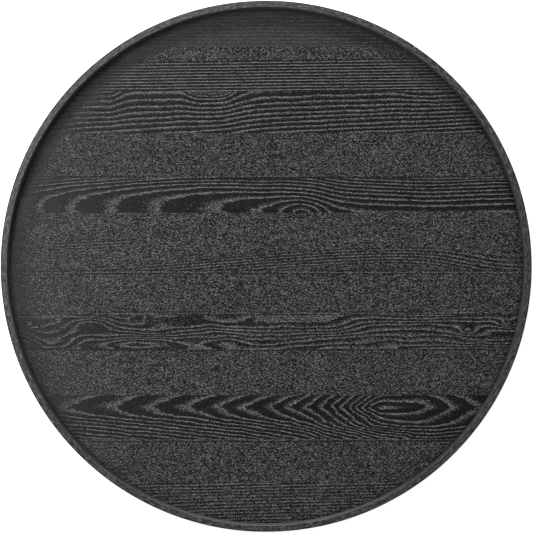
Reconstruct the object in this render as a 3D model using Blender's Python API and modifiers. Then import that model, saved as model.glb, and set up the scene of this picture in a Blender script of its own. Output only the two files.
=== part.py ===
"""Round serving tray: an edge-glued board panel held inside a bent-wood hoop, on battens and rubber pads.

Metres, +Z up, the grain of the boards along X, the underside of the pads at Z = 0.
"""
import math

import bmesh
import bpy
from mathutils import Matrix, Vector

# ---- driving dimensions ----
TRAY_DIAMETER = 0.711
TRAY_HEIGHT = 0.044
GAP = 0.0003  # clearance left at every joint face
SPARE = 0.010  # how far a cutter runs on past what it cuts
RING_SEGMENTS = 144

HOOP_THICKNESS = 0.009
HOOP_BOTTOM = 0.002
HOOP_TOP_FALL = 0.0009  # how far the top face falls towards the outside
HOOP_OUTER_ROUND = 0.0014  # top outer edge
HOOP_INNER_ROUND = 0.0010  # top inner edge
HOOP_FOOT_ROUND = 0.0008  # both bottom edges
SCARF_OUTER_DEG = 204.0  # where the diagonal joint leaves the outer face
SCARF_INNER_DEG = 213.0  # where it leaves the inner face

PANEL_TOP = 0.020
PANEL_THICKNESS = 0.0095
BOARD_WIDTHS = (  # from the back (+Y) to the front, all but the front board
    0.0505,
    0.0600,
    0.0560,
    0.0615,
    0.0460,
    0.0770,
    0.0610,
    0.0460,
    0.0620,
    0.0590,
    0.0595,
)
BOARD_EDGE_EASE = 0.0004

BATTEN_X = 0.165
BATTEN_WIDTH = 0.045
BATTEN_LENGTH = 0.560
BATTEN_EASE = 0.0015
SCREWED_BOARDS = (1, 3, 5, 8, 10)  # counted from 0 at the back: each takes a screw from both battens

SCREW_LENGTH = 0.0135
SCREW_SHANK_RADIUS = 0.0019
SCREW_POINT_RADIUS = 0.0007
SCREW_POINT_LENGTH = 0.0035
SCREW_TIP_HEIGHT = 0.0004
SCREW_HEAD_RADIUS = 0.0040
SCREW_HEAD_DEPTH = 0.0026
SCREW_HEAD_LIP = 0.0004
SCREW_SIDES = 20
RECESS_WIDTH = 0.0011
RECESS_SPAN = 0.0044
RECESS_DEPTH = 0.0014

BRAD_COUNT = 12
BRAD_FIRST_DEG = 15.0
BRAD_LENGTH = 0.018
BRAD_RADIUS = 0.0008
BRAD_POINT_RADIUS = 0.00025
BRAD_POINT_LENGTH = 0.002
BRAD_HEAD_RADIUS = 0.0013
BRAD_HEAD_LENGTH = 0.0008
BRAD_SINK = 0.0006  # how far the head lies under the outer face
BRAD_SIDES = 12

PAD_RADIUS = 0.010
PAD_EASE = 0.0006
PAD_Y = (0.185, 0.0, -0.185)
PAD_SIDES = 28

# ---- dimensions that follow ----
HOOP_OUTER = TRAY_DIAMETER / 2
HOOP_INNER = HOOP_OUTER - HOOP_THICKNESS
PANEL_RADIUS = HOOP_INNER - GAP
PANEL_UNDERSIDE = PANEL_TOP - PANEL_THICKNESS
BATTEN_TOP = PANEL_UNDERSIDE - GAP
BATTEN_UNDERSIDE = HOOP_BOTTOM + GAP
SCREW_FACE = BATTEN_UNDERSIDE + GAP
BRAD_Z = (PANEL_TOP + PANEL_UNDERSIDE) / 2


# ---- scene, materials and objects ----
def clear_file():
    for ob in list(bpy.data.objects):
        bpy.data.objects.remove(ob, do_unlink=True)


def make_collection(name):
    coll = bpy.data.collections.new(name)
    bpy.context.scene.collection.children.link(coll)
    return coll


def make_material(name, colour, roughness, metallic=0.0):
    mat = bpy.data.materials.new(name)
    mat.use_nodes = True
    shader = mat.node_tree.nodes["Principled BSDF"]
    shader.inputs["Base Color"].default_value = (*colour, 1.0)
    shader.inputs["Roughness"].default_value = roughness
    shader.inputs["Metallic"].default_value = metallic
    mat.diffuse_color = (*colour, 1.0)
    return mat


def make_object(name, bm, coll, mat=None):
    mesh = bpy.data.meshes.new(name)
    bm.to_mesh(mesh)
    bm.free()
    if mat is not None:
        mesh.materials.append(mat)
    ob = bpy.data.objects.new(name, mesh)
    coll.objects.link(ob)
    return ob


def make_cutter(name, bm):
    ob = make_object(name, bm, CUTTERS)
    ob.hide_render = True
    ob.display_type = "WIRE"
    return ob


# ---- shaping tools ----
def boolean(target, cutter, operation):
    mod = target.modifiers.new(cutter.name, "BOOLEAN")
    mod.operation = operation
    mod.solver = "EXACT"
    mod.object = cutter


def bevel(target, width, segments):
    mod = target.modifiers.new("eased_edges", "BEVEL")
    mod.width = width
    mod.segments = segments
    mod.limit_method = "ANGLE"
    mod.angle_limit = math.radians(35)


def add_box(bm, low, high):
    size = Vector(high) - Vector(low)
    middle = (Vector(high) + Vector(low)) / 2
    matrix = Matrix.Translation(middle) @ Matrix.Diagonal((*size, 1.0))
    bmesh.ops.create_cube(bm, size=1.0, matrix=matrix)


def add_turned(bm, place, points, sides):
    """A closed solid turned about the local Z of place from (radius, height) points."""
    solid = bmesh.new()
    rings = []
    for radius, height in points:
        turns = [2 * math.pi * k / sides for k in range(sides if radius > 0 else 1)]
        spots = [(radius * math.cos(t), radius * math.sin(t), height) for t in turns]
        rings.append([solid.verts.new(spot) for spot in spots])
    for below, above in zip(rings, rings[1:]):
        for k in range(sides):
            n = (k + 1) % sides
            loop = [below[k % len(below)], below[n % len(below)]]
            loop += [above[n % len(above)], above[k % len(above)]]
            solid.faces.new(list(dict.fromkeys(loop)))
    bmesh.ops.recalc_face_normals(solid, faces=solid.faces)
    solid.transform(place)
    mesh = bpy.data.meshes.new("turned_solid")
    solid.to_mesh(mesh)
    solid.free()
    bm.from_mesh(mesh)
    bpy.data.meshes.remove(mesh)


def arc(cx, cz, radius, start_deg, end_deg, steps):
    points = []
    for i in range(steps + 1):
        a = math.radians(start_deg + (end_deg - start_deg) * i / steps)
        points.append((cx + radius * math.cos(a), cz + radius * math.sin(a)))
    return points


def lathe(name, points, closed, sides, coll, mat, place=None):
    """An object turned from a profile of (radius, height) points, which runs down its outer side."""
    bm = bmesh.new()
    verts = [bm.verts.new((r, 0.0, z)) for r, z in points]
    for pair in zip(verts, verts[1:]):
        bm.edges.new(pair)
    if closed:
        bm.edges.new((verts[-1], verts[0]))
    ob = make_object(name, bm, coll, mat)
    if place is not None:
        ob.matrix_world = place
    mod = ob.modifiers.new("turned", "SCREW")
    mod.axis = "Z"
    mod.steps = sides
    mod.render_steps = sides
    mod.use_merge_vertices = True
    mod.merge_threshold = 0.00001
    mod.use_smooth_shade = True
    return ob


# ---- panel ----
def board_edges():
    """The Y of the back and front edge of every board."""
    y = PANEL_RADIUS
    edges = []
    for width in BOARD_WIDTHS:
        edges.append((y, y - width))
        y -= width
    edges.append((y, -PANEL_RADIUS))
    return edges


def board_at(y):
    for i, (back, front) in enumerate(board_edges()):
        if front <= y <= back:
            return i
    raise ValueError("no board there")


def build_boards(coll, mat):
    bm = bmesh.new()
    low = PANEL_UNDERSIDE - SPARE
    high = PANEL_TOP + SPARE
    disc = [(0, low), (PANEL_RADIUS, low), (PANEL_RADIUS, high), (0, high)]
    add_turned(bm, Matrix.Identity(4), disc, RING_SEGMENTS)
    outline = make_cutter("panel_outline", bm)
    boards = []
    last = len(BOARD_WIDTHS)
    for i, (back, front) in enumerate(board_edges()):
        bm = bmesh.new()
        y_high = back + SPARE if i == 0 else back - GAP / 2
        y_low = front - SPARE if i == last else front + GAP / 2
        add_box(bm, (-HOOP_OUTER, y_low, PANEL_UNDERSIDE), (HOOP_OUTER, y_high, PANEL_TOP))
        board = make_object(f"panel_board_{i + 1:02d}", bm, coll, mat)
        boolean(board, outline, "INTERSECT")
        bevel(board, BOARD_EDGE_EASE, 1)
        boards.append(board)
    return boards


# ---- hoop ----
def on_circle(radius, degrees):
    a = math.radians(degrees)
    return Vector((radius * math.cos(a), radius * math.sin(a), 0))


def build_hoop(coll, mat):
    top = TRAY_HEIGHT
    inner = HOOP_INNER_ROUND
    outer = HOOP_OUTER_ROUND
    foot = HOOP_FOOT_ROUND
    tilt = math.degrees(math.atan2(HOOP_TOP_FALL, HOOP_THICKNESS - inner - outer))
    points = arc(HOOP_INNER + inner, top - inner, inner, 180, 90, 3)
    points += arc(HOOP_OUTER - outer, top - HOOP_TOP_FALL - outer, outer, 90 - tilt, 0, 3)
    points += arc(HOOP_OUTER - foot, HOOP_BOTTOM + foot, foot, 0, -90, 1)
    points += arc(HOOP_INNER + foot, HOOP_BOTTOM + foot, foot, -90, -180, 1)
    hoop = lathe("rim_hoop", points, True, RING_SEGMENTS, coll, mat)
    boolean(hoop, build_scarf_cutter(), "DIFFERENCE")
    return hoop


def build_scarf_cutter():
    """A thin upright slab across the wall of the hoop, which leaves the glue line of the joint."""
    outer_end = on_circle(HOOP_OUTER, SCARF_OUTER_DEG)
    run = on_circle(HOOP_INNER, SCARF_INNER_DEG) - outer_end
    turn = Matrix.Rotation(math.atan2(run.y, run.x), 4, "Z")
    bm = bmesh.new()
    add_box(bm, (-SPARE, -GAP / 2, -SPARE), (run.length + SPARE, GAP / 2, TRAY_HEIGHT + SPARE))
    bm.transform(Matrix.Translation(outer_end) @ turn)
    return make_cutter("scarf_joint_line", bm)


# ---- battens, screws and pads ----
def build_batten(side, coll, mat):
    x = side * BATTEN_X
    low = (x - BATTEN_WIDTH / 2, -BATTEN_LENGTH / 2, BATTEN_UNDERSIDE)
    high = (x + BATTEN_WIDTH / 2, BATTEN_LENGTH / 2, BATTEN_TOP)
    bm = bmesh.new()
    add_box(bm, low, high)
    batten = make_object("batten_left" if side < 0 else "batten_right", bm, coll, mat)
    bevel(batten, BATTEN_EASE, 2)
    return batten


def screw_places():
    """The side, board and frame of every screw, with Z pointing up from the face of its head."""
    edges = board_edges()
    for side in (-1, 1):
        for i in SCREWED_BOARDS:
            middle = sum(edges[i]) / 2
            yield side, i, Matrix.Translation((side * BATTEN_X, middle, SCREW_FACE))


def build_screw(name, place, coll, mat):
    points = [
        (0, SCREW_LENGTH),
        (SCREW_POINT_RADIUS, SCREW_LENGTH - SCREW_TIP_HEIGHT),
        (SCREW_SHANK_RADIUS, SCREW_LENGTH - SCREW_POINT_LENGTH),
        (SCREW_SHANK_RADIUS, SCREW_HEAD_DEPTH),
        (SCREW_HEAD_RADIUS, SCREW_HEAD_LIP),
        (SCREW_HEAD_RADIUS, 0),
        (0, 0),
    ]
    screw = lathe(name, points, False, SCREW_SIDES, coll, mat, place)
    boolean(screw, build_recess_cutter(name, place), "DIFFERENCE")


def build_recess_cutter(name, place):
    """The cross-shaped driver recess."""
    far = RECESS_SPAN / 2
    near = RECESS_WIDTH / 2
    quarter = [(far, -near), (far, near), (near, near)]
    bm = bmesh.new()
    rim = []
    for k in range(4):
        turn = Matrix.Rotation(math.radians(90 * k), 4, "Z")
        rim += [bm.verts.new(turn @ Vector((x, y, -RECESS_DEPTH))) for x, y in quarter]
    face = bm.faces.new(rim)
    raised = bmesh.ops.extrude_face_region(bm, geom=[face])["geom"]
    lifted = [v for v in raised if isinstance(v, bmesh.types.BMVert)]
    bmesh.ops.translate(bm, vec=(0, 0, 2 * RECESS_DEPTH), verts=lifted)
    bmesh.ops.recalc_face_normals(bm, faces=bm.faces)
    bm.transform(place)
    return make_cutter(name + "_recess", bm)


def build_pad(name, side, y, coll, mat):
    points = [(0, HOOP_BOTTOM), (PAD_RADIUS, HOOP_BOTTOM)]
    points += arc(PAD_RADIUS - PAD_EASE, PAD_EASE, PAD_EASE, 0, -90, 2)
    points += [(0, 0)]
    place = Matrix.Translation((side * BATTEN_X, y, 0))
    lathe(name, points, False, PAD_SIDES, coll, mat, place)


# ---- brads ----
def brad_places():
    """The board and frame of every brad, with Z pointing in from the face of its head."""
    for k in range(BRAD_COUNT):
        degrees = BRAD_FIRST_DEG + 360 / BRAD_COUNT * k
        head = on_circle(HOOP_OUTER - BRAD_SINK, degrees)
        point = on_circle(HOOP_OUTER - BRAD_SINK - BRAD_LENGTH, degrees)
        turn = (point - head).to_track_quat("Z", "Y").to_matrix().to_4x4()
        yield board_at(point.y), Matrix.Translation((head.x, head.y, BRAD_Z)) @ turn


def build_brad(name, place, coll, mat):
    points = [
        (0, BRAD_LENGTH),
        (BRAD_POINT_RADIUS, BRAD_LENGTH - BRAD_POINT_RADIUS),
        (BRAD_RADIUS, BRAD_LENGTH - BRAD_POINT_LENGTH),
        (BRAD_RADIUS, BRAD_HEAD_LENGTH),
        (BRAD_HEAD_RADIUS, BRAD_HEAD_LENGTH / 2),
        (BRAD_HEAD_RADIUS, 0),
        (0, 0),
    ]
    lathe(name, points, False, BRAD_SIDES, coll, mat, place)


# ---- bores ----
def stepped_bore(head_radius, head_end, neck_end, radius, end):
    """A mouth for a head, narrowing between head_end and neck_end to the radius of the shank."""
    return [
        (0, -SPARE),
        (head_radius, -SPARE),
        (head_radius, head_end),
        (radius, neck_end),
        (radius, end),
        (0, end),
    ]


def plain_bore(radius, start, end):
    return [(0, start), (radius, start), (radius, end), (0, end)]


def bore_for_brads(board_bores):
    """Cuts the hoop's bores, and adds the boards' own to board_bores."""
    radius = BRAD_RADIUS + GAP
    seat = BRAD_HEAD_LENGTH + GAP
    wall = BRAD_SINK + HOOP_THICKNESS
    through_hoop = stepped_bore(BRAD_HEAD_RADIUS + GAP, seat, seat, radius, wall + GAP / 2)
    in_board = plain_bore(radius, wall - HOOP_THICKNESS / 2, BRAD_LENGTH + GAP)
    hoop_bores = bmesh.new()
    for i, place in brad_places():
        add_turned(hoop_bores, place, through_hoop, BRAD_SIDES)
        add_turned(board_bores.setdefault(i, bmesh.new()), place, in_board, BRAD_SIDES)
    return make_cutter("hoop_bores", hoop_bores)


def bore_for_screws(board_bores, battens):
    """Bores the battens, and adds the boards' pilot holes to board_bores."""
    radius = SCREW_SHANK_RADIUS + GAP
    head_end = SCREW_HEAD_LIP + GAP
    through = stepped_bore(SCREW_HEAD_RADIUS + GAP, head_end, SCREW_HEAD_DEPTH + GAP, radius, SPARE)
    pilot_start = (BATTEN_TOP - BATTEN_UNDERSIDE) / 2
    pilot = plain_bore(radius, pilot_start, SCREW_LENGTH + GAP)
    batten_bores = {side: bmesh.new() for side in battens}
    for side, i, place in screw_places():
        add_turned(batten_bores[side], place, through, SCREW_SIDES)
        add_turned(board_bores.setdefault(i, bmesh.new()), place, pilot, SCREW_SIDES)
    for side, batten in battens.items():
        cutter = make_cutter(batten.name + "_bores", batten_bores[side])
        boolean(batten, cutter, "DIFFERENCE")


def bore_all(hoop, boards, battens):
    board_bores = {}
    boolean(hoop, bore_for_brads(board_bores), "DIFFERENCE")
    bore_for_screws(board_bores, battens)
    for i, bores in sorted(board_bores.items()):
        boolean(boards[i], make_cutter(boards[i].name + "_bores", bores), "DIFFERENCE")


# ---- the tray ----
clear_file()
TRAY = make_collection("round_serving_tray")
CUTTERS = make_collection("cutters")

stained_boards = make_material("stained_ash_boards", (0.042, 0.042, 0.043), 0.55)
stained_hoop = make_material("stained_bent_ash", (0.050, 0.050, 0.051), 0.50)
stained_battens = make_material("stained_battens", (0.035, 0.034, 0.034), 0.65)
screw_steel = make_material("black_zinc_steel", (0.16, 0.16, 0.17), 0.40, 1.0)
brad_steel = make_material("bright_steel_wire", (0.45, 0.45, 0.46), 0.35, 1.0)
rubber = make_material("pad_rubber", (0.020, 0.020, 0.021), 0.85)

panel_boards = build_boards(TRAY, stained_boards)
rim_hoop = build_hoop(TRAY, stained_hoop)
both_battens = {side: build_batten(side, TRAY, stained_battens) for side in (-1, 1)}
bore_all(rim_hoop, panel_boards, both_battens)
for n, (_, _, frame) in enumerate(screw_places(), start=1):
    build_screw(f"batten_screw_{n:02d}", frame, TRAY, screw_steel)
for n, (_, frame) in enumerate(brad_places(), start=1):
    build_brad(f"hoop_brad_{n:02d}", frame, TRAY, brad_steel)
pad_spots = [(side, y) for side in (-1, 1) for y in PAD_Y]
for n, (side, y) in enumerate(pad_spots, start=1):
    build_pad(f"rubber_pad_{n}", side, y, TRAY, rubber)
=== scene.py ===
"""Looks of the round serving tray: brushed, black-stained boards in a bent-wood hoop, seen from above.

Metres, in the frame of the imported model: +Z up, the grain of the boards along X, the back towards +Y.
"""
import math
from typing import NamedTuple

import bpy
import numpy as np
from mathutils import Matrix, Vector


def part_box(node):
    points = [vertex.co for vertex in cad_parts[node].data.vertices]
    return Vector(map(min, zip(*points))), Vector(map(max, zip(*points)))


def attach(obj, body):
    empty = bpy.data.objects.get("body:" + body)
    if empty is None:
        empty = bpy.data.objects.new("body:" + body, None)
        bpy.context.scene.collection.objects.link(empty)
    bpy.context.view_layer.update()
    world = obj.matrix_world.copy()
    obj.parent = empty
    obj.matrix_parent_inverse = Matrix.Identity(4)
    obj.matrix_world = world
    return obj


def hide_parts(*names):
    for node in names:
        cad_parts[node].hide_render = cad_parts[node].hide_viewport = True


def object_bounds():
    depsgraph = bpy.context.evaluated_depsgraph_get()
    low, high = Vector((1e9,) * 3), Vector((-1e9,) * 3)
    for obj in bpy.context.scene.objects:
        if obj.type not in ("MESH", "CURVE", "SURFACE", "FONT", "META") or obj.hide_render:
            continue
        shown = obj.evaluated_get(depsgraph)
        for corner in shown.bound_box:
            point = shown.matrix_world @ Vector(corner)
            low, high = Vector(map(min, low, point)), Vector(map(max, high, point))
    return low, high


NOISE_CELLS = 128  # the noise repeats after this many features
SHARP_ANGLE = math.radians(40.0)  # edges bent further than this stay crisp

# ---- the panel's boards ----
ROW_STEP = 0.0007  # spacing of the mesh across the grain
COLUMN_STEP = 0.0026  # and along it
END_ROW_INSET = 0.0003  # how far the panel's first and last rows stop short of its circle
SEAM_EASE = 0.00030  # width of the eased edge along a glued seam
SEAM_DROP = 0.00022  # how far that edge falls
SEAM_CLOSE = 0.000148  # how far each board fills its clearance gap
RELIEF = 0.00012  # depth to which brushing cut the early wood
FINE_PITCH = 0.0060  # rings closer than this read as unbroken pale lines, wider ones as stippled bands
PLAIN_GRAIN = (0.0, 0.0, 0.6)  # ring, shows and open share of the sides and the underside
UNDERSIDE_CLOSED = 0.6  # how closed their wood is
CLOSED_AND_PAINTED_LIGHT_FROM = 0.38  # below this amount of closed wood and painted shade and sheen, the wood still shows all its pores
EDGE_SHADE_FROM = -0.0030  # where the painted shade at the foot of the hoop starts, from the panel's radius
EDGE_SHADE_FULL = 0.0020  # and where it is darkest
EDGE_SHADE_SWAY = 0.006  # how far its ragged edge wanders inwards

# ---- the hoop ----
HOOP_THICKNESS = 0.009
HOOP_TOP_FALL = 0.0009  # how far the top slopes down towards the outside
HOOP_OUTER_ROUND = 0.0014
HOOP_INNER_ROUND = 0.0006
HOOP_FOOT_ROUND = 0.0008
HOOP_STATIONS = 900  # sections round the hoop
HOOP_WALL_STEP = 0.0012  # longest straight stretch of a section
HOOP_WEAR = 0.00003  # size of the dents and hollows of its surface
SCARF_OUTER = math.radians(204.0)  # where the slanted joint meets the outer face
SCARF_INNER = math.radians(213.0)  # and the inner face
SCARF_GAP = 0.00012
INNER_FACE_FADE = 0.0010  # how far the tone of the inner face runs on over its rounded top
FRONT_HIGHLIGHT_FROM = 0.82  # the painted highlight on the inner face starts this share of its radius to the front
FRONT_HIGHLIGHT_FULL = 0.96  # and is full from here
OUTER_SHADE_WIDTH = 0.0018  # the painted shade round the outside of the top
OUTER_SHADE_DEPTH = 0.0060  # how far down the outer face it fades out
BRAD_FIRST = math.radians(15.0)
BRAD_SPACING = math.radians(30.0)
BRAD_HEIGHT = 0.01525
BRAD_FILLER_RADIUS = 0.0017

# ---- colours ----
ASH_BLACKEST = (0.0020, 0.0020, 0.0022)  # brushed wood, between this
ASH_BLACK = (0.0050, 0.0050, 0.0052)  # and this
ASH_CLOSED_AND_PAINTED_LIGHT = (0.0480, 0.0480, 0.0484)  # early wood that the brush left closed, and the grey of the painted shade and sheen
ASH_CLOSED_LATE_AND_PAINTED_LIGHT = (0.0120, 0.0120, 0.0122)  # and the late wood beside it
ASH_FIBRE = (0.026, 0.026, 0.027)  # long fibres in the wood
ASH_TORN = ((0.0, 0.030), (0.45, 0.096), (1.0, 0.184))  # brightness of torn fibre, from faint marks to full
ASH_TORN_CLOSED_AND_PAINTED_LIGHT = (0.0750, 0.0750, 0.0755)  # torn fibre in closed wood and under painted shade and sheen
ASH_EDGE_SHADE = (0.0030, 0.0030, 0.0032)  # painted shade at the foot of the hoop
HOOP_BLACKEST = (0.0038, 0.0038, 0.0041)  # plain stain, between this
HOOP_BLACK = (0.0120, 0.0120, 0.0123)  # and this
HOOP_STREAK = (0.034, 0.034, 0.0345)
HOOP_PORE = (0.092, 0.092, 0.093)
HOOP_INSIDE = (0.075, 0.075, 0.076)
# painted highlight on the front stretch of the inner face
HOOP_FRONT_HIGHLIGHT = (0.150, 0.150, 0.152)
HOOP_RUBBED = (0.085, 0.085, 0.085)
# painted shade round the outer edge of the hoop's top
HOOP_OUTER_SHADE = (0.0015, 0.0015, 0.0016)
HOOP_FILLER = (0.026, 0.025, 0.025)
BATTEN_BLACK = (0.014, 0.014, 0.0145)
BATTEN_GREY = (0.046, 0.045, 0.045)
ZINC_DARK = (0.05, 0.05, 0.055)
ZINC_BRIGHT = (0.12, 0.12, 0.125)
WIRE_DARK = (0.35, 0.35, 0.36)
WIRE_BRIGHT = (0.50, 0.50, 0.51)
RUBBER_BLACK = (0.016, 0.016, 0.016)
RUBBER_DUST = (0.036, 0.035, 0.034)
FLOOR_PALE = (0.90, 0.90, 0.90)
FLOOR_PALEST = (0.92, 0.92, 0.92)
WHITE = (1.0, 1.0, 1.0, 1.0)

# ---- stage ----
FLOOR_REACH = 30.0
FLOOR_GLOW = 0.72  # the floor is a light table, which keeps its shadows pale
WORLD_STRENGTH = 0.47
LIGHTS = {  # place, point aimed at, diameter and power in watts
    "softbox": ((-0.65, 0.50, 1.75), (0, 0, 0), 0.9, 16),
    "key": ((-0.30, 2.60, 2.10), (0, 0, 0), 0.7, 60),
    "side_fill": ((-0.85, 0.10, 0.60), (-0.1, 0, 0), 0.4, 3.0),
}

# ---- camera ----
CAMERA_HEIGHT = 2.95  # above the rim
CAMERA_OFFSET = (0.0005, -0.0057)
SENSOR = 36.0  # millimetres
FRAME_HEIGHT = 0.7233  # what the long side of the frame covers at the rim

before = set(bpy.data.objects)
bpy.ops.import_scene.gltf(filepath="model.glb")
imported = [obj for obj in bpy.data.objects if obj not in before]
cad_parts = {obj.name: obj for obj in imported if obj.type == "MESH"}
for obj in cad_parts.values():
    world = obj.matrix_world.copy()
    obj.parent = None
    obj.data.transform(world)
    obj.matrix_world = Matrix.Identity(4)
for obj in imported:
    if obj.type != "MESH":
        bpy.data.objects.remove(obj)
cad_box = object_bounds()
HOOP_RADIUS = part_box("rim_hoop")[1].x
HOOP_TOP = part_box("rim_hoop")[1].z
HOOP_INNER = HOOP_RADIUS - HOOP_THICKNESS


# ---- shaping functions ----
def smoothed(t):
    """Eases a fraction in and out."""
    return t * t * (3 - 2 * t)


def uneven(x, y, seed):
    """Smooth noise from -1 to 1 with features about 1 across, the same each run."""
    table = np.random.default_rng(seed).random((NOISE_CELLS, NOISE_CELLS)) * 2 - 1
    column = np.floor(x).astype(int)
    row = np.floor(y).astype(int)
    right = smoothed(x - column)
    up = smoothed(y - row)

    def corner(rows, columns):
        return table[(row + rows) % NOISE_CELLS, (column + columns) % NOISE_CELLS]

    low = corner(0, 0) * (1 - right) + corner(0, 1) * right
    high = corner(1, 0) * (1 - right) + corner(1, 1) * right
    return low * (1 - up) + high * up


def step(x, middle, width):
    """Rises smoothly from 0 to 1 about the middle."""
    return 1 / (1 + np.exp(-(x - middle) / width))


def hinge(x, width):
    """0 below zero and x above it, rounded where the two meet."""
    return 0.5 * (x + np.sqrt(x * x + width * width))


def bump(x, middle, width, power=2):
    """1 at the middle and 0 well past the width; a higher power gives a flatter top."""
    return np.exp(-(np.abs((x - middle) / width) ** power))


def soft_distance(d, rounding):
    """The distance |d|, rounded off near zero."""
    return np.sqrt(d * d + rounding * rounding) - rounding


def crossings_passed(x, crossings):
    """How many of the crossings lie behind x, in fractions between two of them and beyond the last."""
    count = np.interp(x, crossings, np.arange(len(crossings)))
    before = np.minimum(x - crossings[0], 0) / (crossings[1] - crossings[0])
    after = np.maximum(x - crossings[-1], 0) / (crossings[-1] - crossings[-2])
    return count + before + after


# ---- the boards' figures ----
# Each board has a function that gives its grain at (x, y) in the tray's frame. The lengths in it say where
# the lines of the figure dip, close up or turn back, and how far apart they lie.
class Grain(NamedTuple):
    """The growth rings of a board, as numbers or as arrays of them."""

    ring: float  # ring number, which grows away from the pith
    shows: float  # how clearly the rings show: 0 is plain, 1 full, and more makes their crests paler
    open_share: float  # share of a ring that is open, stippled early wood


def rift_rings(x, y, pitch, slope, sway, seed):
    """Rings cut square on: nearly straight lines that drift a little."""
    drift = uneven(x / 0.16, y / 0.05, seed) + 0.3 * uneven(x / 0.05, y / 0.012, seed + 50)
    return (y - slope * x + sway * drift) / pitch


def figure_01(x, y):
    """Nearly level lines."""
    ring = rift_rings(x, y, pitch=0.0047, slope=0.004, sway=0.0016, seed=11)
    return Grain(ring, shows=0.75, open_share=0.74)


def figure_02(x, y):
    """Bold even lines that climb to the right, in front of a plain strip along the back."""
    slope = 0.0138
    ring = rift_rings(x, y, pitch=0.00415, slope=slope, sway=0.0007, seed=21)
    lined = step(0.2760 + slope * x - y, 0, 0.0012)
    return Grain(ring, shows=1.7 * lined, open_share=0.60)


def figure_03(x, y):
    """Lines that dip in wide cups and kinks near the back, and run closer and straighter in front."""
    cup = -0.0755
    depth = 0.2357 - y  # in front of the back seam
    fading = np.exp(-depth / 0.019)  # of the dips, towards the front
    left_end = 0.0188 * step(-x, 0.198, 0.0055) + 0.0035 * bump(x, -0.209, 0.009)
    right_end = 0.0045 * bump(x, 0.205, 0.020) + 0.0045 * step(x, 0.218, 0.003)
    dips = left_end + 0.0130 * bump(x, cup, 0.031, 4) + right_end
    rise = 0.0112 * step(x, -0.026, 0.0095) * (0.45 + 0.55 * fading)
    fan = (0.018 + 0.85 * depth) * (x + 0.15)
    run = depth + rise + fan - dips * fading + 0.0010 * uneven(x / 0.035, y / 0.010, 31)
    ring = run / 0.0105 + 45 * hinge(run - 0.018, 0.006)  # wide at the back, close in front
    ring -= 2.2 * bump(x, cup, 0.026, 4) * np.exp(-depth / 0.006)
    return Grain(ring, shows=1, open_share=0.66)


def figure_04(x, y):
    """Plain stipple, with one faint line near the front."""
    ring = rift_rings(x, y, pitch=0.0048, slope=0.010, sway=0.0014, seed=41)
    return Grain(ring, shows=0.05 + 0.7 * bump(y, 0.1190, 0.0022), open_share=0.60)


def figure_05(x, y):
    """Nested rings open to the right along a heart line, an eye, and lines that close up on the right."""
    heart = 0.0790 - 0.007 * step(x, -0.02, 0.02) - 0.006 * step(x, 0.080, 0.018)
    heart -= 0.0035 * bump(x, 0.218, 0.07)
    across = np.abs(y - heart)
    crossings = (-0.299, -0.255, -0.200, -0.141, -0.058, -0.001)  # where rings cross the heart line
    ring = -crossings_passed(np.minimum(x, 0.02), crossings) + 1.15 * step(x, 0.082, 0.012)
    right = step(x, -0.03, 0.03)
    ring += (across / (0.0224 - 0.0071 * right)) ** (2.6 - 0.95 * right)  # sharper bends at the left
    ring -= 1.9 * bump(x, 0.050, 0.027) * bump(across, 0, 0.018)  # the eye
    ring += 0.07 * uneven(x / 0.022, y / 0.006, 51)
    return Grain(ring, shows=1.0, open_share=0.54)


def figure_06(x, y):
    """Stipple with a band of close lines that swings up to the right, and a short one at the left."""
    swing = 0.019 * np.tanh((x + 0.06) / 0.22) - 0.026 * step(x, 0.26, 0.03) * step(0.02 - y, 0, 0.01)
    run = y - swing
    ring = (run + 0.0010 * uneven(x / 0.09, y / 0.02, 61)) / 0.0038
    shows = 0.04 + 0.62 * bump(run, 0.000, 0.011, 4) * step(x, -0.24, 0.04)
    shows += 0.5 * bump(y - 0.08 * (x + 0.26), 0.0265, 0.006) * bump(x, -0.245, 0.07, 4)
    return Grain(ring, shows, open_share=0.72)


def figure_07(x, y):
    """Plain stipple, with faint lines along both seams."""
    ring = rift_rings(x, y, pitch=0.0046, slope=0.002, sway=0.0016, seed=71)
    shows = 0.05 + 0.5 * bump(y, -0.0080, 0.0035) + 0.3 * bump(y, -0.0640, 0.003)
    return Grain(ring, shows, open_share=0.72)


def figure_08(x, y):
    """Restless lines, swirling on the left, with two knots at the right and a small eye near the front."""
    broad = step(-x, 0.09, 0.04)
    waves = 1.2 * uneven(x / 0.075, y / 0.020, 82) + 0.28 * uneven(x / 0.024, y / 0.008, 83)
    swirls = 1.8 * uneven(x / 0.048, y / 0.013, 81) * broad
    ring = (y - 0.02 * x + 0.0900) / 0.0060 * (1 - 0.35 * broad) + waves + swirls
    knots = ((0.272, -0.0858, 0.0060), (0.324, -0.0762, 0.0065))  # place and size
    for knot_x, knot_y, size in knots:
        reach = np.hypot((x - knot_x) / 1.9, y - knot_y)
        ring += 2.6 * np.exp(-reach / size)
    ring += 1.3 * np.exp(-np.abs(x - 0.066) / 0.022) * np.exp(-np.abs(y + 0.1118) / 0.006)  # the eye
    shows = 0.78 + 0.30 * uneven(x / 0.070, y / 0.012, 84)
    return Grain(ring, shows, open_share=0.78 - 0.22 * broad)


def figure_09(x, y):
    """Plain stipple, with a faint line along the back seam."""
    ring = rift_rings(x, y, pitch=0.0040, slope=0.0, sway=0.0010, seed=91)
    return Grain(ring, shows=0.03 + 0.6 * bump(y, -0.1128, 0.0015), open_share=0.60)


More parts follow.
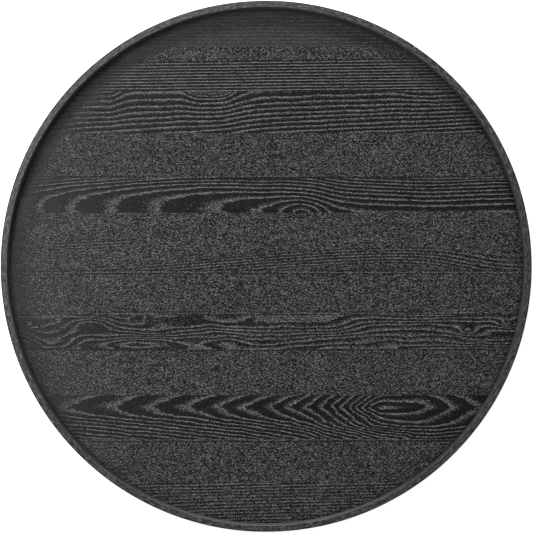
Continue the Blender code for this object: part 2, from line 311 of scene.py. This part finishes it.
def figure_10(x, y):
    """Nested arrowheads that point left from a long eye, behind a band of close slanted lines."""
    wander = uneven(x / 0.030, y / 0.012, 101) + 0.7 * uneven(x / 0.011, y / 0.006, 102)
    across = y + 0.1900 + 0.0007 * wander  # from the heart line
    along = x - 0.158 + 0.0034 * wander  # from the eye
    flank = soft_distance(across, 0.0008)
    lean = 1.0 + 1.2 * step(-along, 0.100, 0.015) - 0.6 * step(along, 0.030, 0.010)
    stretch = np.where(along > 0, 0.27, 1.0)  # right of the eye the rings lie further apart
    reach = np.hypot(stretch * along, 0.014) + lean * flank
    ring = 8.7 * np.log1p(reach / 0.122) + 5.0 * np.tanh(reach / 0.060)
    behind = hinge(flank - 0.0140, 0.002) / 0.0110
    in_front = hinge(flank - 0.0165 - 0.03 * (along + 0.12), 0.003) / 0.0060
    ring += np.where(across > 0, behind, in_front)
    return Grain(ring, shows=0.95, open_share=0.58)


def figure_11(x, y):
    """Plain stipple, with a faint line near the front."""
    ring = rift_rings(x, y, pitch=0.0047, slope=0.004, sway=0.0014, seed=111)
    return Grain(ring, shows=0.05 + 0.6 * bump(y, -0.2350, 0.002), open_share=0.60)


def figure_12(x, y):
    """Lines that climb to the right and come and go."""
    ring = rift_rings(x, y, pitch=0.0043, slope=0.028, sway=0.0014, seed=121)
    shows = 0.58 + 0.30 * bump(y, -0.2945, 0.002) + 0.25 * uneven(x / 0.08, y / 0.010, 122)
    return Grain(ring, shows, open_share=0.80)


BOARD_FIGURES = (
    figure_01,
    figure_02,
    figure_03,
    figure_04,
    figure_05,
    figure_06,
    figure_07,
    figure_08,
    figure_09,
    figure_10,
    figure_11,
    figure_12,
)
FIGURES = {f"panel_board_{number:02d}": figure for number, figure in enumerate(BOARD_FIGURES, 1)}
PANEL_RADIUS = max(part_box(node)[1].x for node in FIGURES)
BACK_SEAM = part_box("panel_board_01")[0].y


def painted_shade_and_sheen(x, y):
    """How much painted shade and sheen the top gets, carried as closed wood: painted shadow, most on the
    back board and by the hoop at the back left, and a painted sheen towards the left.
    """
    radius = np.hypot(x, y)
    toward_corner = (0.75 * y - 0.66 * x) / np.maximum(radius, 0.001)  # 1 towards the back left
    ragged = 0.010 * uneven(x / 0.030, y / 0.006, 301)
    near_hoop = np.clip((radius + ragged - PANEL_RADIUS) / 0.036 + 1, 0, 1)
    # painted shadow of the hoop towards the back left, in which the stipple fades
    corner = near_hoop * np.clip(0.2 + toward_corner, 0, 1)
    # painted sheen: the dark wood made greyer towards the left
    left = 0.38 * np.clip((-x - 0.03) / 0.26, 0, 1) ** 2
    # painted shade over the back board
    back_board_shade = np.where(y > BACK_SEAM, 0.70 - 0.6 * x, 0)
    return 1 - (1 - np.maximum(corner, back_board_shade)) * (1 - left)


# ---- mesh helpers ----
def finish_piece(name, mesh, material, slot, *nodes):
    """Makes a visible piece of the mesh, in the place of its CAD nodes."""
    mesh.materials.append(material)
    ob = bpy.data.objects.new(name, mesh)
    bpy.context.scene.collection.objects.link(ob)
    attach(ob, "root")
    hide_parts(*nodes)


def add_values(mesh, name, values):
    """Stores one number for each point of the mesh."""
    layer = mesh.attributes.new(name, "FLOAT", "POINT")
    layer.data.foreach_set("value", np.asarray(values, np.float32).ravel())


def add_vectors(mesh, name, values):
    """Stores three numbers for each point of the mesh."""
    layer = mesh.attributes.new(name, "FLOAT_VECTOR", "POINT")
    layer.data.foreach_set("vector", np.asarray(values, np.float32).ravel())


def smooth(mesh):
    """Shades the mesh smooth, apart from its crisp edges."""
    mesh.shade_smooth()
    mesh.set_sharp_from_angle(angle=SHARP_ANGLE)


def graded(low, high, spacing, ease):
    """Positions from low to high about spacing apart, with one more close to each end."""
    count = max(2, math.ceil((high - low - 2 * ease) / spacing))
    inner = np.linspace(low + ease, high - ease, count + 1)
    return np.concatenate(([low], inner, [high]))


def quads(*corners):
    """Four-sided faces, from one array of point numbers for each corner."""
    return np.stack(corners, -1).reshape(-1, 4).tolist()


# ---- boards ----
def board_grid(low, high):
    """The rows of a board's top, and the (x, y) of its points, whose rows end on the panel's circle."""
    reach = PANEL_RADIUS - END_ROW_INSET
    back = min(high.y + SEAM_CLOSE, reach)
    front = max(low.y - SEAM_CLOSE, -reach)
    rows = graded(front, back, ROW_STEP, SEAM_EASE)
    half = np.sqrt(PANEL_RADIUS**2 - rows**2)
    places = graded(-1, 1, COLUMN_STEP / half.max(), SEAM_EASE / half.max())
    x = half[:, None] * places
    y = np.repeat(rows[:, None], len(places), 1)
    return rows, x, y


def carved_height(grain, top):
    """Height of the brushed top: hollow over the early wood, and eased all round."""
    hollow = 0.5 + 0.5 * np.cos(2 * math.pi * (grain.ring - grain.open_share / 2))
    z = top - RELIEF * hollow * grain.shows
    z[[0, -1], :] = top - SEAM_DROP
    z[:, [0, -1]] = top - SEAM_DROP
    return z


def board_mesh(name, low, high, figure):
    """One board: a relief-carved top that ends on the panel's circle, plain sides and a flat underside."""
    rows, x, y = board_grid(low, high)
    grain = Grain(*np.broadcast_arrays(*figure(x, y)))
    top = np.stack([x, y, carved_height(grain, high.z)], -1).reshape(-1, 3)
    index = np.arange(x.size).reshape(x.shape)
    front, right, back, left = index[0, :], index[1:, -1], index[-1, -2::-1], index[-2:0:-1, 0]
    border = np.concatenate([front, right, back, left])
    base = top[border]
    base[:, 2] = low.z
    below = np.arange(len(border)) + len(top)
    faces = quads(index[:-1, :-1], index[:-1, 1:], index[1:, 1:], index[1:, :-1])
    faces += quads(border, below, np.roll(below, -1), np.roll(border, -1))
    faces.append(below[::-1].tolist())
    mesh = bpy.data.meshes.new(name)
    mesh.from_pydata(np.concatenate([top, base]).tolist(), [], faces)
    plain = np.tile(PLAIN_GRAIN, (len(border), 1))
    add_vectors(mesh, "grain", np.concatenate([np.stack(grain, -1).reshape(-1, 3), plain]))
    # on the top the closed amount is painted shade and sheen; the sides and underside are closed wood
    closed = painted_shade_and_sheen(x, y).ravel()
    add_values(mesh, "closed", np.concatenate([closed, np.full(len(border), UNDERSIDE_CLOSED)]))
    fine = np.clip(np.abs(np.gradient(grain.ring, rows, axis=0)) * FINE_PITCH, 0, 1).ravel()
    add_values(mesh, "fine", np.concatenate([fine, fine[border]]))
    smooth(mesh)
    return mesh


# ---- hoop ----
def arc(centre_r, centre_z, radius, start_deg, end_deg, steps):
    """Points along an arc in the plane of the hoop's section."""
    turn = np.radians(np.linspace(start_deg, end_deg, steps + 1))
    return np.stack([centre_r + radius * np.cos(turn), centre_z + radius * np.sin(turn)], -1)


def subdivided(points, spacing):
    """The closed outline with its long straight stretches cut into pieces."""
    out = []
    for a, b in zip(points, np.roll(points, -1, 0)):
        count = max(1, math.ceil(np.linalg.norm(b - a) / spacing))
        out += [a + (b - a) * k / count for k in range(count)]
    return np.array(out)


def hoop_section(low, high):
    """Outline of the hoop's wall as (radius, height), from the inner face over the top and down outside."""
    tilt = math.degrees(math.atan2(HOOP_TOP_FALL, HOOP_THICKNESS - HOOP_INNER_ROUND - HOOP_OUTER_ROUND))
    shoulder = high.z - HOOP_TOP_FALL - HOOP_OUTER_ROUND
    foot = low.z + HOOP_FOOT_ROUND
    corners = [
        arc(HOOP_INNER + HOOP_INNER_ROUND, high.z - HOOP_INNER_ROUND, HOOP_INNER_ROUND, 180, 90, 6),
        arc(HOOP_RADIUS - HOOP_OUTER_ROUND, shoulder, HOOP_OUTER_ROUND, 90 - tilt, 0, 7),
        arc(HOOP_RADIUS - HOOP_FOOT_ROUND, foot, HOOP_FOOT_ROUND, 0, -90, 4),
        arc(HOOP_INNER + HOOP_FOOT_ROUND, foot, HOOP_FOOT_ROUND, -90, -180, 4),
    ]
    return subdivided(np.concatenate(corners), HOOP_WALL_STEP)


def hoop_wear(along, round_section):
    """How far each point of the hoop lies inside its full size."""
    broad = uneven(along / 0.035, round_section / 0.006, 201)
    fine = uneven(along / 0.009, round_section / 0.002, 202)
    return HOOP_WEAR * (broad + 0.5 * fine + 1.5)


def hoop_mesh(low, high):
    """The hoop as one worn strip, bent round from one slanted face of its scarf joint to the other."""
    section = hoop_section(low, high)
    round_section = np.cumsum(np.linalg.norm(section - np.roll(section, 1, 0), axis=1))
    start = SCARF_INNER + (SCARF_OUTER - SCARF_INNER) * (section[:, 0] - HOOP_INNER) / HOOP_THICKNESS
    turn = 2 * math.pi - SCARF_GAP / HOOP_INNER
    angle = start + turn * np.linspace(0, 1, HOOP_STATIONS + 1)[:, None]
    middle_r = (HOOP_INNER + HOOP_RADIUS) / 2
    middle_z = (low.z + high.z) / 2
    along = angle * middle_r
    wear = hoop_wear(along, round_section)
    radius = section[:, 0] - wear * np.sign(section[:, 0] - middle_r)
    near_ends = ((section[:, 1] - middle_z) / (high.z - middle_z)) ** 9  # 1 at the top, -1 at the foot
    height = section[:, 1] - wear * near_ends
    verts = np.stack([radius * np.cos(angle), radius * np.sin(angle), height], -1)
    index = np.arange(angle.size).reshape(angle.shape)
    ahead = np.roll(index, -1, 1)
    faces = quads(index[:-1], index[1:], ahead[1:], ahead[:-1])
    faces += [index[0].tolist(), index[-1, ::-1].tolist()]
    mesh = bpy.data.meshes.new("rim_hoop_bent")
    mesh.from_pydata(verts.reshape(-1, 3).tolist(), [], faces)
    across = np.broadcast_to(round_section, angle.shape)
    add_vectors(mesh, "strip", np.stack([along, across, np.zeros_like(along)], -1))
    smooth(mesh)
    return mesh


# ---- materials ----
class Nodes:
    """Short calls for building a material's node tree."""

    def __init__(self, name, specular):
        self.material = bpy.data.materials.new(name)
        self.material.use_nodes = True
        self.tree = self.material.node_tree
        self.shader = self.tree.nodes["Principled BSDF"]
        self.shader.inputs["Specular IOR Level"].default_value = specular

    def set(self, socket, value):
        """Links another node's output to the socket, or stores a fixed value in it."""
        if isinstance(value, bpy.types.NodeSocket):
            self.tree.links.new(value, socket)
        elif value is not None:
            socket.default_value = value

    def add(self, kind, **settings):
        """A new node of the kind, with its settings."""
        node = self.tree.nodes.new(kind)
        for key, value in settings.items():
            setattr(node, key, value)
        return node

    def math(self, operation, a, b=None, c=None, clamp=False):
        """The result of a math operation."""
        node = self.add("ShaderNodeMath", operation=operation, use_clamp=clamp)
        for socket, value in zip(node.inputs, (a, b, c)):
            self.set(socket, value)
        return node.outputs[0]

    def product(self, result, *others):
        """The values multiplied together."""
        for value in others:
            result = self.math("MULTIPLY", result, value)
        return result

    def total(self, result, *others):
        """The values added up."""
        for value in others:
            result = self.math("ADD", result, value)
        return result

    def blend(self, amount, a, b):
        """The number that lies between a and b by the amount."""
        node = self.add("ShaderNodeMix", data_type="FLOAT")
        for socket, value in zip(node.inputs[:4], (amount, None, a, b)):
            self.set(socket, value)
        return node.outputs[0]

    def mix(self, amount, a, b):
        """The colour that lies between a and b by the amount."""
        node = self.add("ShaderNodeMix", data_type="RGBA")
        self.set(node.inputs["Factor"], amount)
        for socket, value in ((node.inputs[6], a), (node.inputs[7], b)):
            self.set(socket, (*value, 1.0) if isinstance(value, tuple) else value)
        return node.outputs[2]

    def parts(self, vector):
        """The three parts of a vector."""
        node = self.add("ShaderNodeSeparateXYZ")
        self.set(node.inputs[0], vector)
        return node.outputs

    def scaled(self, vector, scale):
        """The vector times the scale, part by part."""
        node = self.add("ShaderNodeVectorMath", operation="MULTIPLY")
        self.set(node.inputs[0], vector)
        self.set(node.inputs[1], scale)
        return node.outputs[0]

    def noise(self, vector, sizes, detail=2.0, roughness=0.55):
        """Noise from about 0.25 to 0.75, whose features have the given sizes along the vector's parts."""
        node = self.add("ShaderNodeTexNoise")
        self.set(node.inputs["Vector"], self.scaled(vector, tuple(1.0 / size for size in sizes)))
        node.inputs["Scale"].default_value = 1.0
        node.inputs["Detail"].default_value = detail
        node.inputs["Roughness"].default_value = roughness
        return node.outputs["Fac"]

    def spread(self, value, low, high, out_low=0.0, out_high=1.0):
        """Maps low to high onto out_low to out_high, and holds beyond them."""
        node = self.add("ShaderNodeMapRange")
        for socket, item in zip(node.inputs, (value, low, high, out_low, out_high)):
            self.set(socket, item)
        return node.outputs[0]

    def ramp(self, value, stops):
        """A grey between the (position, brightness) stops."""
        node = self.add("ShaderNodeValToRGB")
        self.set(node.inputs[0], value)
        elements = node.color_ramp.elements
        while len(elements) < len(stops):
            elements.new(0.5)
        for element, (position, level) in zip(elements, stops):
            element.position = position
            element.color = (level, level, level, 1.0)
        return node.outputs[0]

    def bump(self, height, distance):
        """The normal of a surface raised by the height times the distance."""
        node = self.add("ShaderNodeBump")
        node.inputs["Distance"].default_value = distance
        self.set(node.inputs["Height"], height)
        return node.outputs[0]

    def attribute(self, name, output="Fac"):
        """What the mesh stores under the name."""
        return self.add("ShaderNodeAttribute", attribute_name=name).outputs[output]

    def place(self):
        """The point on the object."""
        return self.add("ShaderNodeTexCoord").outputs["Object"]

    def radius(self):
        """Distance from the tray's upright axis."""
        node = self.add("ShaderNodeVectorMath", operation="LENGTH")
        self.set(node.inputs[0], self.scaled(self.place(), (1.0, 1.0, 0.0)))
        return node.outputs["Value"]

    def finish(self, colour, roughness, normal=None):
        """Joins the results to the shader."""
        self.set(self.shader.inputs["Base Color"], colour)
        self.set(self.shader.inputs["Roughness"], roughness)
        self.set(self.shader.inputs["Normal"], normal)
        return self.material


def ring_bands(n, part, open_share):
    """The open early wood that starts each ring, and the pale crest at its start, both 0 to 1."""
    edge = n.spread(part, 0.0, 0.05)
    fading = n.math("SUBTRACT", 1.0, n.math("DIVIDE", part, open_share), clamp=True)
    early = n.product(n.math("MULTIPLY", fading, 1.6, clamp=True), edge)
    crest = n.product(n.spread(part, 0.06, 0.30, 1.0, 0.0), edge)
    return early, crest


def openness(n, place, early, shows, closed):
    """How open the brushed grain is, 0 to 1, in the bands of the figure and in plain wood."""
    patches = n.noise(place, (0.050, 0.009, 0.009), 1.0)
    plain = n.spread(patches, 0.35, 0.65, 0.70, 0.78)
    return n.product(n.blend(shows, plain, early), n.spread(closed, CLOSED_AND_PAINTED_LIGHT_FROM, 1.0, 1.0, 0.25))


def black_wood(n, place, fibre, closed, late):
    """The stained wood between the marks: greyer where it is closed and where shade and sheen are painted,
    with blacker late wood.
    """
    tone = n.noise(place, (0.12, 0.012, 0.012), 3.0, 0.55)
    brushed = n.mix(n.spread(tone, 0.3, 0.7), ASH_BLACKEST, ASH_BLACK)
    wood = n.mix(closed, brushed, n.mix(late, ASH_CLOSED_AND_PAINTED_LIGHT, ASH_CLOSED_LATE_AND_PAINTED_LIGHT))
    return n.mix(n.spread(fibre, 0.40, 0.75, 0.0, 0.20), wood, ASH_FIBRE)


def torn_fibre(n, marks, closed):
    """The pale fibre in the marks, which is duller where the wood is closed and where shade and sheen are
    painted.
    """
    torn = n.ramp(n.spread(marks, 0.45, 0.62), ASH_TORN)
    return n.mix(n.product(closed, 0.50), torn, ASH_TORN_CLOSED_AND_PAINTED_LIGHT)


def painted_edge_shade(n, ragged):
    """Painted shade along the panel's edge, where it meets the hoop."""
    radius = n.math("MULTIPLY_ADD", ragged, EDGE_SHADE_SWAY, n.radius())
    return n.spread(radius, PANEL_RADIUS + EDGE_SHADE_FROM, PANEL_RADIUS + EDGE_SHADE_FULL, 0.0, 0.35)


def board_material():
    """Black-stained ash, wire-brushed: open early wood stippled with torn fibre, smooth black late wood,
    with painted shade and sheen on parts of the top.
    """
    n = Nodes("brushed_black_ash", specular=0.08)
    place = n.place()
    ring, shows, open_share = n.parts(n.attribute("grain", "Vector"))
    # closed: painted shade and sheen on the top, closed wood on the sides and underside
    closed = n.attribute("closed")
    fine = n.spread(n.attribute("fine"), 0.2, 1.0)
    ragged = n.noise(place, (0.0090, 0.0020, 0.0020), 2.0)
    pores = n.noise(place, (0.0018, 0.00068, 0.00068), 1.0, 0.5)
    fibre = n.noise(place, (0.030, 0.0012, 0.0012), 3.0, 0.6)
    part = n.math("FRACT", n.total(ring, n.spread(ragged, 0.3, 0.7, -0.09, 0.09)))
    early, crest = ring_bands(n, part, open_share)
    open_grain = openness(n, place, early, shows, closed)
    lined = n.product(crest, shows, fine)
    lift = n.product(lined, n.spread(closed, CLOSED_AND_PAINTED_LIGHT_FROM, 1.0, 0.12, 0.0))
    closing = n.math("MULTIPLY_ADD", open_grain, 0.23, -0.23)
    marks = n.total(pores, lift, closing)
    late = n.product(shows, fine, n.spread(part, 0.74, 0.84))
    wood = black_wood(n, place, fibre, closed, late)
    colour = n.mix(n.spread(marks, 0.43, 0.49), wood, torn_fibre(n, marks, closed))
    # painted shade where the panel meets the hoop
    colour = n.mix(painted_edge_shade(n, ragged), colour, ASH_EDGE_SHADE)
    roughness = n.spread(open_grain, 0.0, 1.0, 0.46, 0.66)
    depth = n.product(n.spread(pores, 0.3, 0.7), n.spread(open_grain, 0.0, 0.5, 0.04, 1.0))
    normal = n.bump(n.math("MULTIPLY_ADD", fibre, 0.12, depth), 0.0006)
    return n.finish(colour, roughness, normal)


def hoop_stain(n, strip, streaks, pores):
    """The black of the hoop, with paler streaks and pores along the strip."""
    tone = n.noise(strip, (0.050, 0.006, 1.0), 2.0, 0.5)
    colour = n.mix(n.spread(tone, 0.35, 0.65), HOOP_BLACKEST, HOOP_BLACK)
    colour = n.mix(n.spread(streaks, 0.42, 0.62, 0.0, 0.80), colour, HOOP_STREAK)
    return n.mix(n.spread(pores, 0.50, 0.57, 0.0, 0.75), colour, HOOP_PORE)


def inner_face_and_front_highlight(n, colour, streaks):
    """Greys the hoop's inner face, and paints a highlight on its front stretch."""
    inside = n.spread(n.radius(), HOOP_INNER + INNER_FACE_FADE, HOOP_INNER + 0.3 * INNER_FACE_FADE)
    colour = n.mix(n.product(inside, 0.45), colour, HOOP_INSIDE)
    front = n.spread(n.parts(n.place())[1], -FRONT_HIGHLIGHT_FROM * HOOP_INNER, -FRONT_HIGHLIGHT_FULL * HOOP_INNER)
    # painted highlight on the front stretch of the inner face, uneven along the strip
    worn = n.product(inside, front, n.spread(streaks, 0.38, 0.62, 0.40, 0.80))
    return n.mix(worn, colour, HOOP_FRONT_HIGHLIGHT)


def painted_outer_shade(n):
    """Where shade is painted: 1 round the outer edge of the hoop's top, 0 elsewhere."""
    near_top = n.spread(n.parts(n.place())[2], HOOP_TOP - OUTER_SHADE_DEPTH, HOOP_TOP - OUTER_SHADE_DEPTH / 2)
    outside = n.spread(n.radius(), HOOP_RADIUS - OUTER_SHADE_WIDTH, HOOP_RADIUS - OUTER_SHADE_WIDTH / 3)
    return n.product(outside, near_top)


def filler_spots(n):
    """1 over the filler that hides each brad's head on the outside of the hoop, 0 elsewhere."""
    x, y, z = n.parts(n.place())
    turn = n.math("SUBTRACT", n.math("ARCTAN2", y, x), BRAD_FIRST - BRAD_SPACING / 2)
    aside = n.math("SUBTRACT", n.math("FLOORED_MODULO", turn, BRAD_SPACING), BRAD_SPACING / 2)
    along = n.product(aside, HOOP_RADIUS)
    above = n.math("SUBTRACT", z, BRAD_HEIGHT)
    reach = n.math("SQRT", n.total(n.math("POWER", along, 2.0), n.math("POWER", above, 2.0)))
    outside = n.math("GREATER_THAN", n.radius(), HOOP_RADIUS - HOOP_THICKNESS / 2)
    return n.product(n.spread(reach, BRAD_FILLER_RADIUS, BRAD_FILLER_RADIUS * 0.8), outside)


def hoop_material():
    """Black-stained bent ash: fine streaks along the strip, rubbed edges, and filler over the brads, with a
    painted highlight on the front of the inner face and painted shade round the outer edge of the top.
    """
    n = Nodes("bent_black_ash", specular=0.28)
    strip = n.attribute("strip", "Vector")
    streaks = n.noise(strip, (0.040, 0.0022, 1.0), 3.0, 0.65)
    pores = n.noise(strip, (0.0075, 0.0019, 1.0), 2.0, 0.6)
    rubbed = n.add("ShaderNodeNewGeometry").outputs["Pointiness"]
    colour = inner_face_and_front_highlight(n, hoop_stain(n, strip, streaks, pores), streaks)
    colour = n.mix(n.spread(rubbed, 0.52, 0.60, 0.0, 0.55), colour, HOOP_RUBBED)
    # painted shade round the outer edge of the top
    colour = n.mix(n.product(painted_outer_shade(n), 0.85), colour, HOOP_OUTER_SHADE)
    colour = n.mix(filler_spots(n), colour, HOOP_FILLER)
    roughness = n.blend(n.spread(rubbed, 0.51, 0.55), n.spread(streaks, 0.35, 0.7, 0.42, 0.58), 0.26)
    normal = n.bump(n.total(streaks, n.product(pores, 0.7)), 0.00035)
    return n.finish(colour, roughness, normal)


def batten_material():
    """Black-stained sawn wood with its grain along Y."""
    n = Nodes("sawn_black_batten", specular=0.25)
    place = n.place()
    streaks = n.noise(place, (0.0018, 0.050, 0.0018), 3.0, 0.6)
    saw = n.noise(place, (0.020, 0.0012, 0.004), 1.0, 0.5)
    colour = n.mix(n.spread(streaks, 0.3, 0.7), BATTEN_BLACK, BATTEN_GREY)
    roughness = n.spread(streaks, 0.3, 0.7, 0.6, 0.8)
    normal = n.bump(n.total(streaks, n.product(saw, 0.5)), 0.0003)
    return n.finish(colour, roughness, normal)


def steel_material(name, dark, bright):
    """Plated or drawn steel, faintly mottled between two tones."""
    n = Nodes(name, specular=0.5)
    n.shader.inputs["Metallic"].default_value = 1.0
    place = n.place()
    stain = n.noise(place, (0.003, 0.003, 0.003), 3.0)
    colour = n.mix(n.spread(stain, 0.35, 0.65), dark, bright)
    normal = n.bump(n.noise(place, (0.0006, 0.0006, 0.0006), 2.0), 0.00004)
    return n.finish(colour, n.spread(stain, 0.3, 0.7, 0.30, 0.48), normal)


def rubber_material():
    """Dusty black rubber."""
    n = Nodes("pad_rubber_black", specular=0.3)
    place = n.place()
    dust = n.noise(place, (0.004, 0.004, 0.004), 4.0, 0.6)
    colour = n.mix(n.spread(dust, 0.4, 0.7), RUBBER_BLACK, RUBBER_DUST)
    normal = n.bump(n.noise(place, (0.0005, 0.0005, 0.0005), 2.0), 0.00006)
    return n.finish(colour, n.spread(dust, 0.3, 0.7, 0.75, 0.92), normal)


def floor_material():
    """A white surface lit from within, with a barely visible cloud to it."""
    n = Nodes("pale_floor", specular=0.1)
    shade = n.noise(n.place(), (0.9, 0.9, 0.9), 2.0)
    colour = n.mix(n.spread(shade, 0.3, 0.7), FLOOR_PALE, FLOOR_PALEST)
    n.shader.inputs["Emission Color"].default_value = WHITE
    n.shader.inputs["Emission Strength"].default_value = FLOOR_GLOW
    return n.finish(colour, n.spread(shade, 0.3, 0.7, 0.78, 0.85))


# ---- pieces ----
def build_boards():
    """The twelve boards of the panel, each with its own figure."""
    material = board_material()
    for node, figure in FIGURES.items():
        low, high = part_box(node)
        mesh = board_mesh(node + "_brushed", low, high, figure)
        finish_piece(node + "_brushed", mesh, material, "board_wood", node)


def build_hoop():
    """The bent hoop round the panel."""
    low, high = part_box("rim_hoop")
    finish_piece("rim_hoop_bent", hoop_mesh(low, high), hoop_material(), "hoop_wood", "rim_hoop")


def dress_nodes():
    """Gives the CAD nodes that stay their finished materials."""
    finishes = {
        "batten_screw": steel_material("black_zinc", ZINC_DARK, ZINC_BRIGHT),
        "batten": batten_material(),
        "hoop_brad": steel_material("bright_wire", WIRE_DARK, WIRE_BRIGHT),
        "rubber_pad": rubber_material(),
    }
    for name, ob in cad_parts.items():
        material = next((finishes[kind] for kind in finishes if name.startswith(kind)), None)
        if material:
            for slot in ob.material_slots:
                slot.link = "OBJECT"
                slot.material = material


# ---- stage ----
def build_floor():
    """A wide floor at the height that the tray stands on."""
    mesh = bpy.data.meshes.new("floor")
    reach = FLOOR_REACH
    corners = [(-reach, -reach, 0), (reach, -reach, 0), (reach, reach, 0), (-reach, reach, 0)]
    mesh.from_pydata(corners, [], [(0, 1, 2, 3)])
    mesh.materials.append(floor_material())
    floor = bpy.data.objects.new("floor", mesh)
    bpy.context.scene.collection.objects.link(floor)


def area_light(name, place, target, size, power):
    """A round soft light at the place, aimed at the target."""
    data = bpy.data.lights.new(name, "AREA")
    data.shape = "DISK"
    data.size = size
    data.energy = power
    light = bpy.data.objects.new(name, data)
    light.location = place
    light.visible_camera = False
    aim = Vector(target) - Vector(place)
    light.rotation_mode = "QUATERNION"
    light.rotation_quaternion = aim.to_track_quat("-Z", "Y")
    bpy.context.scene.collection.objects.link(light)


def build_lights():
    """A white surround and the soft lights."""
    world = bpy.data.worlds.new("studio")
    bpy.context.scene.world = world
    world.use_nodes = True
    background = world.node_tree.nodes["Background"]
    background.inputs["Color"].default_value = WHITE
    background.inputs["Strength"].default_value = WORLD_STRENGTH
    for name, (place, target, size, power) in LIGHTS.items():
        area_light(name, place, target, size, power)


def build_camera():
    """The camera straight above, which fits the tray into the frame."""
    data = bpy.data.cameras.new("camera")
    data.sensor_width = SENSOR
    data.lens = SENSOR * CAMERA_HEIGHT / FRAME_HEIGHT
    camera = bpy.data.objects.new("camera", data)
    camera.location = (*CAMERA_OFFSET, cad_box[1].z + CAMERA_HEIGHT)
    bpy.context.scene.collection.objects.link(camera)
    bpy.context.scene.camera = camera


bpy.context.scene.view_settings.view_transform = "Standard"
build_boards()
build_hoop()
dress_nodes()
build_floor()
build_lights()
build_camera()
